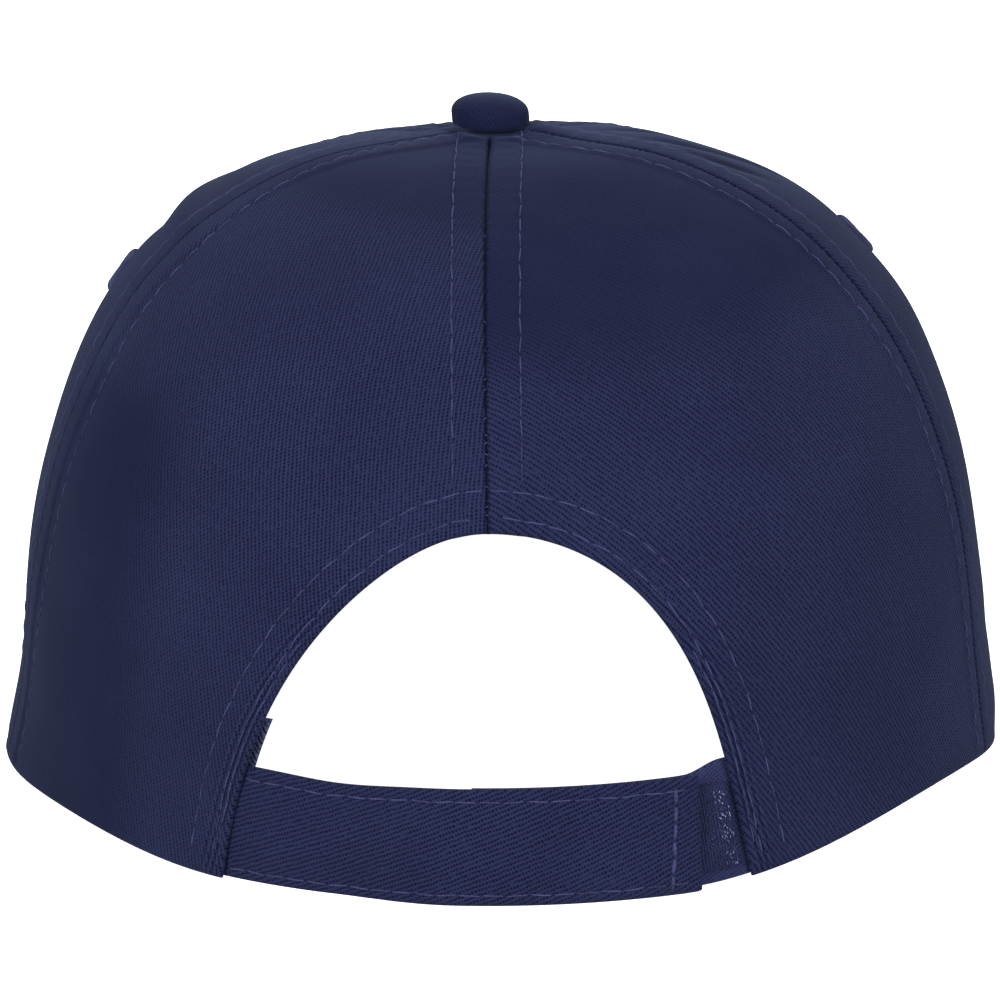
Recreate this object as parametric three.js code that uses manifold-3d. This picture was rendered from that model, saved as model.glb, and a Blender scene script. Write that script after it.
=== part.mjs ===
// A five panel cap of cotton twill, at rest on a flat surface on its hem and the sides of its peak.
// Millimetres, +Z up, the peak towards +Y. The origin is on the surface, under the middle of the cap.
// An azimuth goes round the crown in degrees, from 0 at the middle of the back to 90 at the wearer's right.
import * as THREE from 'three';
import Module from 'manifold-3d';
import { mergeVertices } from 'three/addons/utils/BufferGeometryUtils.js';

const wasm = await Module();
wasm.setup();

// The crown, outside, at the hem and up to the cloth under the button
const RIM_WIDTH = 180;
const RIM_LENGTH = 200;
const CROWN_HEIGHT = 116;
const HEM_FLARE = 2.5;
const TOP_LEANS_LEFT = 1.2;
const CLOTH = 1.3;
const GAP = 0.3;

// How square the crown is in its upright sections, as the power of a superellipse, and the share of the
// height by which the top falls away like a cone from under the button
const SQUARENESS = { back: 2.34, side: 2.9, front: 2.63 };
const FALLING_AWAY = { back: 0.055, side: 0.043, front: 0.216 };

// Where the hem stands off the surface behind the ears
const HEM_RISES = [
  { side: 'left', azimuth: -62, spread: 29, rise: 3.5 },
  { side: 'right', azimuth: 60, spread: 37, rise: 8 },
];

// The seams between the panels, as azimuths at the hem and at the button, and how late each leans from the
// one to the other. The back seam runs above the middle of the arch.
const BACK_SEAM = { hem: -3.4, button: -3.4, lateness: 1 };
const LEFT_SIDE_SEAM = { hem: -80, button: -62, lateness: 0.55 };
const RIGHT_SIDE_SEAM = { hem: 73, button: 58, lateness: 2.2 };
const LEFT_FRONT_SEAM = { hem: -125, button: -125, lateness: 1 };
const RIGHT_FRONT_SEAM = { hem: 125, button: 125, lateness: 1 };

// The arch cut out of the back, measured across the hem and up the cloth, by what share its right half is
// the fuller one near the top, and how far each foot turns out at the hem
const ARCH_WIDTH = 90.5;
const ARCH_HEIGHT = 64.5;
const ARCH_SQUARENESS = 2;
const ARCH_SKEW = 0.14;
const LEFT_FOOT_SPLAY = 2.6;
const RIGHT_FOOT_SPLAY = 0.8;

// Where the cloth has sunk or swelled: the middle's azimuth and share of the height, how far it spreads
// each way, and how far it moves the cloth out
const DENTS = [
  { name: 'drawn in by the button', azimuth: 0, height: 1, across: 1000, up: 0.02, out: -1.2 },
  { name: 'left shoulder hollow', azimuth: -97, height: 0.815, across: 18, up: 0.05, out: -1.1 },
  { name: 'left shoulder knuckle', azimuth: -97, height: 0.905, across: 20, up: 0.045, out: 1.3 },
  { name: 'left side pressed in', azimuth: -95, height: 0.62, across: 25, up: 0.15, out: -0.8 },
  { name: 'right shoulder corner', azimuth: 96, height: 0.79, across: 12, up: 0.04, out: 0.5 },
  { name: 'right shoulder full', azimuth: 92, height: 0.87, across: 25, up: 0.07, out: 0.8 },
  { name: 'left hem flare', azimuth: -92, height: 0, across: 16, up: 0.11, out: 2.4 },
  { name: 'right hem flare', azimuth: 94, height: 0.15, across: 14, up: 0.05, out: 0.8 },
  { name: 'right hem turned in', azimuth: 94, height: 0, across: 14, up: 0.06, out: -1 },
];

// The covered button and the shank that holds it in the hole where the panels meet
const BUTTON_DIAMETER = 14.4;
const BUTTON_THICKNESS = 5.6;
const SHANK_DIAMETER = 4;
const SHANK_BELOW_CLOTH = 1;
const HOLE_RADIUS = SHANK_DIAMETER / 2 + GAP + 0.4 * CLOTH;

// The sewn eyelets, one in each side panel
const EYELET_DIAMETER = 9;
const EYELET_HOLE = 3;
const EYELET_THICKNESS = 1;
const EYELETS = [
  { side: 'left', azimuth: -96, share: 0.556 },
  { side: 'right', azimuth: 96, share: 0.582 },
];

// The peak: how far round the front it is sewn, how far it reaches, and how high its middle stands
const PEAK_SPREAD = 64;
const PEAK_LENGTH = 68;
const PEAK_THICKNESS = 3;
const PEAK_END_WIDTH = 3;
const PEAK_SQUARENESS = 2.25;
const PEAK_TIP_LIFT = 13;
const FRONT_HEM_LIFT = 18;

// The sweatband inside the hem. Its ends are set back from the arch's edges, and its left end still shows
// past the panel, because it stands further in.
const BAND_WIDTH = 28;
const BAND_THICKNESS = 1;
const BAND_ABOVE_HEM = 1;
const BAND_LEFT_SET_BACK = 1.4;
const BAND_RIGHT_SET_BACK = 3;
const BAND_EASE = 14;

// The closure: a long strap from the left, a short one from the right, and hook tape between them. Each
// strap reaches past the arch's middle, measured along the hem.
const STRAP_WIDTH = 20.4;
const STRAP_THICKNESS = 1.8;
const STRAP_UNDER_PANEL = 7;
const CLOSURE_REACH = 40.5;
const HOOK_STRAP_WIDTH = 18.6;
const HOOK_STRAP_THICKNESS = 1.5;
const HOOK_STRAP_ABOVE_HEM = 1.4;
const HOOK_STRAP_REACH = 4;
const HOOK_TAPE_WIDTH = 12.6;
const HOOK_TAPE_THICKNESS = 0.8;
const HOOK_TAPE_MARGIN = 3.6;
const HOOK_TAPE_CLEARANCE = 1.5;
const CLOSURE_LIFT_SPREAD = 26;

// How finely the curved pieces are faceted
const PANEL_ROWS = 24;
const ROWS_BESIDE_ARCH = 15 / 24;
const BACK_COLUMNS = 12;
const SIDE_COLUMNS = 10;
const FRONT_COLUMNS = 18;
const ROUND_STEPS = 24;

const radians = THREE.MathUtils.degToRad;
const degrees = THREE.MathUtils.radToDeg;
const { lerp, smoothstep } = THREE.MathUtils;

// An azimuth brought to between -180 and 180.
function wrapped(azimuth) {
  return THREE.MathUtils.euclideanModulo(azimuth + 180, 360) - 180;
}

// A value that goes smoothly round the crown through its back, side and front figures.
function aroundCrown(azimuth, { back, side, front }) {
  const lengthwise = (back + front) / 2;
  const turn = radians(azimuth);
  return (
    (lengthwise + side) / 2 +
    ((back - front) / 2) * Math.cos(turn) +
    ((lengthwise - side) / 2) * Math.cos(2 * turn)
  );
}

// A rounded rise that is 1 in its middle and 0 from its spread on.
function rounded(from, spread) {
  return Math.abs(from) >= spread ? 0 : Math.cos(radians(90 * (from / spread))) ** 2;
}

// How far the hem is off the surface: over the peak it rises to the middle of the front.
function hemLift(azimuth) {
  let lift = FRONT_HEM_LIFT * rounded(wrapped(azimuth - 180), PEAK_SPREAD);
  for (const place of HEM_RISES) {
    lift += place.rise * rounded(wrapped(azimuth - place.azimuth), place.spread);
  }
  return lift;
}

// The outside of the crown without its dents. climb goes from 0 at the hem to 90 degrees at the top.
function smoothCrown(azimuth, climb) {
  const power = 2 / aroundCrown(azimuth, SQUARENESS);
  const out = Math.cos(climb) ** power;
  const steep = Math.sin(climb) ** power;
  const up = steep * (1 - out * aroundCrown(azimuth, FALLING_AWAY));
  const flare = HEM_FLARE * (1 - steep) ** 6;
  const turn = radians(azimuth);
  const hem = hemLift(azimuth);
  return new THREE.Vector3(
    ((RIM_WIDTH / 2 - HEM_FLARE) * out + flare) * Math.sin(turn) - TOP_LEANS_LEFT * up ** 3,
    -((RIM_LENGTH / 2 - HEM_FLARE) * out + flare) * Math.cos(turn),
    hem + (CROWN_HEIGHT - hem) * up,
  );
}

function crownNormal(azimuth, climb) {
  const step = 1e-3;
  const here = smoothCrown(azimuth, climb);
  const across = smoothCrown(azimuth + degrees(step), climb).sub(here);
  const back = Math.max(climb - step, 0);
  const upwards = smoothCrown(azimuth, back + step).sub(smoothCrown(azimuth, back));
  return across.cross(upwards).normalize();
}

function dentAt(azimuth, height) {
  let out = 0;
  for (const dent of DENTS) {
    const across = wrapped(azimuth - dent.azimuth) / dent.across;
    const up = (height - dent.height) / dent.up;
    out += dent.out * Math.exp(-(across * across) - up * up);
  }
  return out;
}

// A section of the crown from the hem to the hole under the button, measured by its length.
class Section extends THREE.Curve {
  constructor(azimuth) {
    super();
    this.azimuth = azimuth;
    const reach = smoothCrown(azimuth, 0);
    const out = HOLE_RADIUS / Math.hypot(reach.x, reach.y);
    this.top = Math.acos(out ** (aroundCrown(azimuth, SQUARENESS) / 2));
  }

  getPoint(t) {
    return smoothCrown(this.azimuth, this.top * t);
  }

  climbAt(share) {
    return this.top * this.getUtoTmapping(THREE.MathUtils.clamp(share, 0, 1));
  }
}

const sections = new Map();

function sectionAt(azimuth) {
  const key = azimuth.toFixed(3);
  if (!sections.has(key)) sections.set(key, new Section(azimuth));
  return sections.get(key);
}

// A point of the cloth: its azimuth, its share of the way up the section, and how far inside the surface.
function clothPoint(azimuth, share, inset = 0) {
  const climb = sectionAt(azimuth).climbAt(share);
  const point = smoothCrown(azimuth, climb);
  const dent = dentAt(azimuth, point.z / CROWN_HEIGHT);
  point.addScaledVector(crownNormal(azimuth, climb), dent - inset);
  point.z = Math.max(point.z, hemLift(azimuth));
  return point;
}

// The share of the section at an azimuth that a height up the cloth takes.
function shareOf(height, azimuth) {
  return height / sectionAt(azimuth).getLength();
}

// A length along the hem as an angle, near an azimuth.
function hemAngle(length, azimuth) {
  const hem = smoothCrown(azimuth, 0);
  return degrees(length / Math.hypot(hem.x, hem.y));
}

// A closed sheet between an outer face (0) and an inner face (1). Columns run to the right as seen from
// outside and rows run up.
function sheet(columns, rows, pointAt) {
  const points = [];
  for (const face of [0, 1]) {
    for (let row = 0; row <= rows; row++) {
      for (let column = 0; column <= columns; column++) {
        points.push(pointAt(column / columns, row / rows, face));
      }
    }
  }
  const id = (column, row, face) => (face * (rows + 1) + row) * (columns + 1) + column;
  const index = [];
  const quad = (a, b, c, d) => index.push(a, b, c, a, c, d);
  for (let row = 0; row < rows; row++) {
    for (let column = 0; column < columns; column++) {
      const corners = [[0, 0], [1, 0], [1, 1], [0, 1]];
      quad(...corners.map(([c, r]) => id(column + c, row + r, 0)));
      quad(...corners.reverse().map(([c, r]) => id(column + c, row + r, 1)));
    }
    quad(id(0, row, 0), id(0, row + 1, 0), id(0, row + 1, 1), id(0, row, 1));
    quad(id(columns, row, 0), id(columns, row, 1), id(columns, row + 1, 1), id(columns, row + 1, 0));
  }
  for (let column = 0; column < columns; column++) {
    quad(id(column, 0, 0), id(column, 0, 1), id(column + 1, 0, 1), id(column + 1, 0, 0));
    quad(id(column, rows, 0), id(column + 1, rows, 0), id(column + 1, rows, 1), id(column, rows, 1));
  }
  const geometry = new THREE.BufferGeometry().setFromPoints(points);
  geometry.setIndex(index);
  geometry.computeVertexNormals();
  return geometry;
}

function toManifold(geometry) {
  const bare = new THREE.BufferGeometry().setAttribute('position', geometry.getAttribute('position'));
  bare.setIndex(geometry.index);
  const merged = mergeVertices(bare, 1e-4);
  return new wasm.Manifold(
    new wasm.Mesh({
      numProp: 3,
      vertProperties: new Float32Array(merged.attributes.position.array),
      triVerts: new Uint32Array(merged.index.array),
    }),
  );
}

function fromManifold(solid) {
  const { vertProperties, triVerts } = solid.getMesh();
  const geometry = new THREE.BufferGeometry();
  geometry.setAttribute('position', new THREE.BufferAttribute(vertProperties, 3));
  geometry.setIndex(new THREE.BufferAttribute(triVerts, 1));
  geometry.computeVertexNormals();
  return geometry;
}

const twill = new THREE.MeshStandardMaterial({ color: 0x282c49, roughness: 0.9, metalness: 0 });
const twillStrap = twill.clone();
const bandCloth = new THREE.MeshStandardMaterial({ color: 0x2b3050, roughness: 0.92, metalness: 0 });
const eyeletThread = new THREE.MeshStandardMaterial({ color: 0x2a2e4e, roughness: 0.7, metalness: 0 });
const hookTape = new THREE.MeshStandardMaterial({ color: 0x272b48, roughness: 0.6, metalness: 0 });

const cap = new THREE.Group();

function add(name, geometry, material) {
  const mesh = new THREE.Mesh(geometry, material);
  mesh.name = name;
  cap.add(mesh);
  return mesh;
}

// A panel's edge along a seam, half the gap to its own side: side is 1 for the azimuths above the seam.
function seamEdge({ hem, button, lateness }, side) {
  return (share) => {
    const azimuth = lerp(hem, button, share ** lateness);
    const on = clothPoint(azimuth, share);
    const shift = degrees(GAP / 2 / Math.hypot(on.x, on.y));
    return { azimuth: azimuth + side * shift, share };
  };
}

// The arch's edge by its share of the way up: how far in azimuth it is from the middle.
const archMiddle = BACK_SEAM.hem;
const archFoot = degrees(Math.asin(ARCH_WIDTH / RIM_WIDTH));
const archTop = shareOf(ARCH_HEIGHT, archMiddle);

function archOffset(up, side) {
  const even = archFoot * (1 - up ** ARCH_SQUARENESS) ** (1 / ARCH_SQUARENESS);
  const splay = hemAngle(side < 0 ? LEFT_FOOT_SPLAY : RIGHT_FOOT_SPLAY, archMiddle);
  return side * (even * (1 + side * ARCH_SKEW * up ** 3) + splay * (1 - up) ** 4);
}

// The arch's edge on one side (-1 left, 1 right) at a height up the cloth.
function archAzimuthAt(height, side) {
  return archMiddle + archOffset(Math.min(height / ARCH_HEIGHT, 1), side);
}

// The inner edge of a back panel: up the arch from its foot, then up the seam to the button.
function backEdge(side) {
  const seam = seamEdge(BACK_SEAM, side);
  return (share) => {
    if (share >= ROWS_BESIDE_ARCH) {
      const above = (share - ROWS_BESIDE_ARCH) / (1 - ROWS_BESIDE_ARCH);
      return seam(lerp(archTop, 1, above));
    }
    const up = Math.sin(radians(90 * (share / ROWS_BESIDE_ARCH))) ** (2 / ARCH_SQUARENESS);
    const clear = seam(archTop * up).azimuth - archMiddle;
    const offset = archOffset(up, side);
    return { azimuth: archMiddle + side * Math.max(side * offset, side * clear), share: archTop * up };
  };
}

function panel(columns, leftEdge, rightEdge) {
  return sheet(columns, PANEL_ROWS, (across, up, face) => {
    const left = leftEdge(up);
    const right = rightEdge(up);
    const azimuth = lerp(left.azimuth, right.azimuth, across);
    const share = lerp(left.share, right.share, across);
    return clothPoint(azimuth, share, face * CLOTH);
  });
}

// Where an eyelet sits: the middle of its hole on the cloth, the direction out of the cloth around it, and
// how far the ring stands off that middle to lie on the cloth.
function eyeletSeat({ azimuth, share }) {
  const middle = clothPoint(azimuth, share);
  const across = degrees(EYELET_DIAMETER / 2 / Math.hypot(middle.x, middle.y));
  const up = shareOf(EYELET_DIAMETER / 2, azimuth);
  const rim = [];
  for (let step = 0; step < 8; step++) {
    const turn = radians(45 * step);
    rim.push(clothPoint(azimuth + across * Math.cos(turn), share + up * Math.sin(turn)));
  }
  const out = rim[0].clone().sub(rim[4]).cross(rim[2].clone().sub(rim[6])).normalize();
  const highest = Math.max(0, ...rim.map((point) => point.clone().sub(middle).dot(out)));
  const turn = new THREE.Quaternion().setFromUnitVectors(new THREE.Vector3(0, 1, 0), out);
  return { middle, out, turn, lift: highest + GAP };
}

function withEyeletHole(geometry, eyelet) {
  const { middle, turn } = eyeletSeat(eyelet);
  const drill = new THREE.CylinderGeometry(EYELET_HOLE / 2, EYELET_HOLE / 2, 8 * CLOTH, 12);
  drill.deleteAttribute('normal');
  drill.deleteAttribute('uv');
  drill.applyQuaternion(turn);
  drill.translate(middle.x, middle.y, middle.z);
  return fromManifold(toManifold(geometry).subtract(toManifold(drill)));
}

function addPanels() {
  const [leftEyelet, rightEyelet] = EYELETS;
  add('back_panel_left', panel(BACK_COLUMNS, seamEdge(LEFT_SIDE_SEAM, 1), backEdge(-1)), twill);
  add('back_panel_right', panel(BACK_COLUMNS, backEdge(1), seamEdge(RIGHT_SIDE_SEAM, -1)), twill);
  const left = panel(SIDE_COLUMNS, seamEdge(LEFT_FRONT_SEAM, 1), seamEdge(LEFT_SIDE_SEAM, -1));
  const right = panel(SIDE_COLUMNS, seamEdge(RIGHT_SIDE_SEAM, 1), seamEdge(RIGHT_FRONT_SEAM, -1));
  add('side_panel_left', withEyeletHole(left, leftEyelet), twill);
  add('side_panel_right', withEyeletHole(right, rightEyelet), twill);
  const farFrontSeam = { ...LEFT_FRONT_SEAM, hem: 360 + LEFT_FRONT_SEAM.hem, button: 360 + LEFT_FRONT_SEAM.button };
  add('front_panel', panel(FRONT_COLUMNS, seamEdge(RIGHT_FRONT_SEAM, 1), seamEdge(farFrontSeam, -1)), twill);
}

// Each eyelet is a ring of satin stitches round its hole.
function addEyelets() {
  const inner = EYELET_HOLE / 2;
  const outer = EYELET_DIAMETER / 2;
  const half = (outer - inner) / 2;
  const profile = [new THREE.Vector2(inner, 0)];
  const arcSteps = 5;
  for (let step = 0; step <= arcSteps; step++) {
    const angle = radians((180 * step) / arcSteps);
    const height = EYELET_THICKNESS * (0.35 + 0.65 * Math.sin(angle));
    profile.push(new THREE.Vector2(outer - half + half * Math.cos(angle), height));
  }
  profile.splice(1, 0, new THREE.Vector2(outer, 0));
  profile.push(profile[0].clone());
  for (const eyelet of EYELETS) {
    const { middle, out, turn, lift } = eyeletSeat(eyelet);
    const ring = add(`eyelet_${eyelet.side}`, new THREE.LatheGeometry(profile, ROUND_STEPS), eyeletThread);
    ring.quaternion.copy(turn);
    ring.position.copy(middle).addScaledVector(out, lift);
  }
}

// The button is a domed disc in a cover of twill, on a shank through the hole.
function addButton() {
  const radius = BUTTON_DIAMETER / 2;
  const widest = 0.4 * BUTTON_THICKNESS;
  const shank = SHANK_DIAMETER / 2;
  const profile = [
    new THREE.Vector2(0, -CLOTH - SHANK_BELOW_CLOTH),
    new THREE.Vector2(shank, -CLOTH - SHANK_BELOW_CLOTH),
    new THREE.Vector2(shank, GAP),
  ];
  const undercut = 50;
  const steps = 9;
  for (let step = 0; step <= steps; step++) {
    const angle = radians(lerp(-undercut, 90, step / steps));
    const rise = angle < 0 ? widest / Math.sin(radians(undercut)) : BUTTON_THICKNESS - widest;
    const out = step === steps ? 0 : radius * Math.cos(angle) ** 0.6;
    profile.push(new THREE.Vector2(out, GAP + widest + rise * Math.sin(angle)));
  }
  const button = add('top_button', new THREE.LatheGeometry(profile, ROUND_STEPS), twill);
  button.rotation.x = Math.PI / 2;
  button.position.set(-TOP_LEANS_LEFT, 0, Math.max(...[0, 90, 180, 270].map((at) => clothPoint(at, 1).z)));
}

// The peak is one stiff board in its cover. It is sewn along the front hem, and its sides rest on the
// surface.
function addPeak() {
  const endTurn = radians(180 - PEAK_SPREAD);
  const end = new THREE.Vector2(Math.sin(endTurn) * (RIM_WIDTH / 2), -Math.cos(endTurn) * (RIM_LENGTH / 2));
  const halfWidth = end.x + PEAK_END_WIDTH;
  const reach = RIM_LENGTH / 2 + PEAK_LENGTH - end.y;
  const power = 2 / PEAK_SQUARENESS;
  const point = (across, forward, face) => {
    const share = 2 * across - 1;
    const azimuth = 180 - share * PEAK_SPREAD;
    const hem = clothPoint(azimuth, 0);
    const out = new THREE.Vector2(hem.x, hem.y).normalize();
    const inner = new THREE.Vector3(hem.x + GAP * out.x, hem.y + GAP * out.y, hem.z);
    const turn = radians(90 * share);
    const outer = new THREE.Vector3(
      halfWidth * Math.sign(turn) * Math.abs(Math.sin(turn)) ** power,
      end.y + reach * Math.cos(turn) ** power,
      PEAK_TIP_LIFT * Math.cos(turn) ** 2,
    );
    const at = inner.lerp(outer, forward);
    at.z += face === 0 ? PEAK_THICKNESS : 0;
    return at;
  };
  add('peak', sheet(28, 7, point), twill);
}

const underPanel = CLOTH + GAP;

// The sweatband lies inside the panels, and eases inwards at its ends, where the straps lie behind it.
function addSweatband() {
  const left = (height) => archAzimuthAt(height, -1) - hemAngle(BAND_LEFT_SET_BACK, archMiddle);
  const right = (height) => archAzimuthAt(height, 1) + hemAngle(BAND_RIGHT_SET_BACK, archMiddle);
  const point = (across, up, face) => {
    const height = BAND_ABOVE_HEM + up * BAND_WIDTH;
    const azimuth = lerp(right(height), 360 + left(height), across);
    const fromEnd = Math.min(azimuth - right(height), 360 + left(height) - azimuth);
    const easeFrom = hemAngle(STRAP_UNDER_PANEL, archMiddle);
    const behindStraps = 1 - smoothstep(fromEnd, easeFrom, easeFrom + BAND_EASE);
    const inset = underPanel + behindStraps * (STRAP_THICKNESS + GAP) + face * BAND_THICKNESS;
    return clothPoint(azimuth, shareOf(height, azimuth), inset);
  };
  add('sweatband', sheet(56, 3, point), bandCloth);
}

// A strap across the arch, between two azimuths and two heights, with its outer face at an inset.
function strap(name, { from, to, bottom, top, thickness, insetAt, columns, material }) {
  const point = (across, up, face) => {
    const azimuth = lerp(from, to, across);
    const share = shareOf(lerp(bottom, top, up), azimuth);
    return clothPoint(azimuth, share, insetAt(azimuth) + face * thickness);
  };
  add(name, sheet(columns, 3, point), material);
}

function addClosure() {
  const leftFoot = archAzimuthAt(0, -1) - hemAngle(STRAP_UNDER_PANEL, archMiddle);
  const rightFoot = archAzimuthAt(0, 1) + hemAngle(STRAP_UNDER_PANEL, archMiddle);
  const hookEnd = archMiddle - hemAngle(HOOK_STRAP_REACH, archMiddle);
  const closureEnd = archMiddle + hemAngle(CLOSURE_REACH, archMiddle);
  const hookTapeInset = underPanel - GAP - HOOK_TAPE_THICKNESS;
  const overHooks = hookTapeInset - GAP - STRAP_THICKNESS;
  strap('closure_strap', {
    from: leftFoot,
    to: closureEnd,
    bottom: 0,
    top: STRAP_WIDTH,
    thickness: STRAP_THICKNESS,
    insetAt: (azimuth) => {
      const lifted = hookEnd - hemAngle(HOOK_TAPE_CLEARANCE, archMiddle);
      const flat = lifted - hemAngle(CLOSURE_LIFT_SPREAD, archMiddle);
      return lerp(underPanel, overHooks, smoothstep(azimuth, flat, lifted));
    },
    columns: 26,
    material: twillStrap,
  });
  strap('hook_strap', {
    from: hookEnd,
    to: rightFoot,
    bottom: HOOK_STRAP_ABOVE_HEM,
    top: HOOK_STRAP_ABOVE_HEM + HOOK_STRAP_WIDTH,
    thickness: HOOK_STRAP_THICKNESS,
    insetAt: () => underPanel,
    columns: 14,
    material: twillStrap,
  });
  const tapeBottom = HOOK_STRAP_ABOVE_HEM + HOOK_TAPE_MARGIN;
  const tapeTop = tapeBottom + HOOK_TAPE_WIDTH;
  strap('hook_patch', {
    from: hookEnd + hemAngle(HOOK_TAPE_CLEARANCE, archMiddle),
    to: archAzimuthAt(tapeTop, 1) - hemAngle(HOOK_TAPE_CLEARANCE, archMiddle),
    bottom: tapeBottom,
    top: tapeTop,
    thickness: HOOK_TAPE_THICKNESS,
    insetAt: () => hookTapeInset,
    columns: 10,
    material: hookTape,
  });
}

addPanels();
addButton();
addEyelets();
addPeak();
addSweatband();
addClosure();

// The origin goes under the middle of the whole cap.
cap.updateMatrixWorld(true);
const extent = new THREE.Box3().setFromObject(cap, true);
cap.position.set(-(extent.min.x + extent.max.x) / 2, -(extent.min.y + extent.max.y) / 2, -extent.min.z);

export default cap;
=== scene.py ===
import bpy
import numpy as np
from mathutils import Matrix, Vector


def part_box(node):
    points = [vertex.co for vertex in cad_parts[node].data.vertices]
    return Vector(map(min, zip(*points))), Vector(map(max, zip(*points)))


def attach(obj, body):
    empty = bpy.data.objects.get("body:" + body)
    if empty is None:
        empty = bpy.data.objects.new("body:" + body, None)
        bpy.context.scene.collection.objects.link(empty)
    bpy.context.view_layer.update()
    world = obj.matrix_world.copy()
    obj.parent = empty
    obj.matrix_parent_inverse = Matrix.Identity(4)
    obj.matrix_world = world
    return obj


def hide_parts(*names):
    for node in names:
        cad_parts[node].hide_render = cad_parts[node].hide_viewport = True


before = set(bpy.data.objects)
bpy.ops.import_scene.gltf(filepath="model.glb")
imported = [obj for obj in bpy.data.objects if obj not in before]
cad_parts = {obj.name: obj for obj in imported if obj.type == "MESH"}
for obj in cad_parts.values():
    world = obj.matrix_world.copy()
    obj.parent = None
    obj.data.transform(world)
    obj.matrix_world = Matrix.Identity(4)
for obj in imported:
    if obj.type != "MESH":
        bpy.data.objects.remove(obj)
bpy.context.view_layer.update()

# The two back panels
# Navy cotton twill, the grain of the right one turned against the left. They are sewn together up the middle
# and stitched down on both sides of the seam, and the arch cut out of them is folded in and sewn round.
# Lengths are millimetres, and angles are degrees from the middle of the back.
MM = 0.001
RIM_WIDTH = 180
RIM_LENGTH = 200
CROWN_HEIGHT = 116
HEM_FLARE = 2.5
TOP_LEANS_LEFT = 1.2
HOLE_RADIUS = 2.8
SQUARENESS = {"back": 2.34, "side": 2.9, "front": 2.63}
FALLING_AWAY = {"back": 0.055, "side": 0.043, "front": 0.216}
FRONT_HEM_LIFT = 18
PEAK_SPREAD = 64
HEM_RISES = [(-62, 29, 2.3), (57, 40, 6.4)]

# Where the cloth has sunk or swelled: azimuth, share of the height, spread across and up, way out
DENTS = [
    (0, 1, 1000, 0.02, -1.2),
    (100, 1, 40, 0.0055, 1.7),
    (-97, 0.93, 20, 0.02, 0.3),
    (-97, 0.876, 20, 0.024, 0.9),
    (-97, 0.833, 18, 0.022, -0.5),
    (-95, 0.62, 25, 0.15, -0.8),
    (95, 0.975, 25, 0.02, 0.5),
    (92, 0.87, 25, 0.07, 0.8),
    (96, 0.7, 20, 0.08, 0.65),
    (-92, 0, 16, 0.11, 1.8),
    (94, 0.19, 14, 0.04, -0.35),
    (94, 0.07, 14, 0.035, 0.35),
    (94, 0, 14, 0.045, -1.1),
]
DENTS_LEVEL_BELOW = 12

CLOTH = 1.3
BACK_SEAM = (-2.95, -4, 1)
LEFT_SIDE_SEAM = (-84.5, -68.5, 0.8)
LEFT_INNER_ROW = (-80.5, -62.3, 0.68)
RIGHT_SIDE_SEAM = (71.5, 61.5, 2.2)
ARCH_MIDDLE = -3.4
ARCH_WIDTH = 90.5
ARCH_HEIGHT = 64.5
ARCH_SKEW = 0.14
ROWS_BESIDE_ARCH = 0.625

button_low, button_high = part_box("top_button")
CROWN_MIDDLE = np.array([
    (button_low.x + button_high.x) / 2 / MM + TOP_LEANS_LEFT,
    (button_low.y + button_high.y) / 2 / MM,
    0,
])


def around_crown(azimuth, back, side, front):
    """A figure that goes smoothly round the crown through its back, side and front values."""
    lengthwise = (back + front) / 2
    turn = np.radians(azimuth)
    return (
        (lengthwise + side) / 2
        + (back - front) / 2 * np.cos(turn)
        + (lengthwise - side) / 2 * np.cos(2 * turn)
    )


def wrapped(azimuth):
    return (azimuth + 180) % 360 - 180


def hem_lift(azimuth):
    """How far the hem stands off the table."""
    lift = 0
    for middle, spread, rise in [(180, PEAK_SPREAD, FRONT_HEM_LIFT), *HEM_RISES]:
        away = np.minimum(np.abs(wrapped(azimuth - middle)) / spread, 1)
        lift = lift + rise * np.cos(np.pi / 2 * away) ** 2
    return lift


def smooth_crown(azimuth, climb):
    power = 2 / around_crown(azimuth, **SQUARENESS)
    out = np.maximum(np.cos(climb), 0) ** power
    steep = np.sin(climb) ** power
    up = steep * (1 - out * around_crown(azimuth, **FALLING_AWAY))
    flare = HEM_FLARE * (1 - steep) ** 6
    turn = np.radians(azimuth)
    hem = hem_lift(azimuth)
    return np.stack([
        ((RIM_WIDTH / 2 - HEM_FLARE) * out + flare) * np.sin(turn) - TOP_LEANS_LEFT * up**3,
        -((RIM_LENGTH / 2 - HEM_FLARE) * out + flare) * np.cos(turn),
        hem + (CROWN_HEIGHT - hem) * up,
    ], axis=-1)


def unit(vectors):
    return vectors / np.maximum(np.linalg.norm(vectors, axis=-1, keepdims=True), 1e-9)


def lengths_along(points):
    steps = np.linalg.norm(np.diff(points, axis=-2), axis=-1)
    return np.concatenate([np.zeros(steps.shape[:-1] + (1,)), np.cumsum(steps, axis=-1)], axis=-1)


# How far up its curve each section of the crown has climbed at each height up the cloth
SECTION_AZIMUTHS = np.arange(-180, 181)
SECTION_SHARES = np.linspace(0, 1, 401)
reach = np.linalg.norm(smooth_crown(SECTION_AZIMUTHS, 0 * SECTION_AZIMUTHS)[:, :2], axis=-1)
top_climb = np.arccos((HOLE_RADIUS / reach) ** (around_crown(SECTION_AZIMUTHS, **SQUARENESS) / 2))
climbs = top_climb[:, None] * np.linspace(0, 1, 601)
section_lengths = lengths_along(smooth_crown(SECTION_AZIMUTHS[:, None] + 0 * climbs, climbs))
SECTION_HEIGHT = section_lengths[:, -1]
SECTION_CLIMB = np.stack([
    np.interp(SECTION_SHARES * length[-1], length, climb)
    for length, climb in zip(section_lengths, climbs)
])


def cloth_height(azimuth):
    """The whole length of the cloth from the hem to the button."""
    return np.interp(wrapped(azimuth), SECTION_AZIMUTHS, SECTION_HEIGHT)


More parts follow.
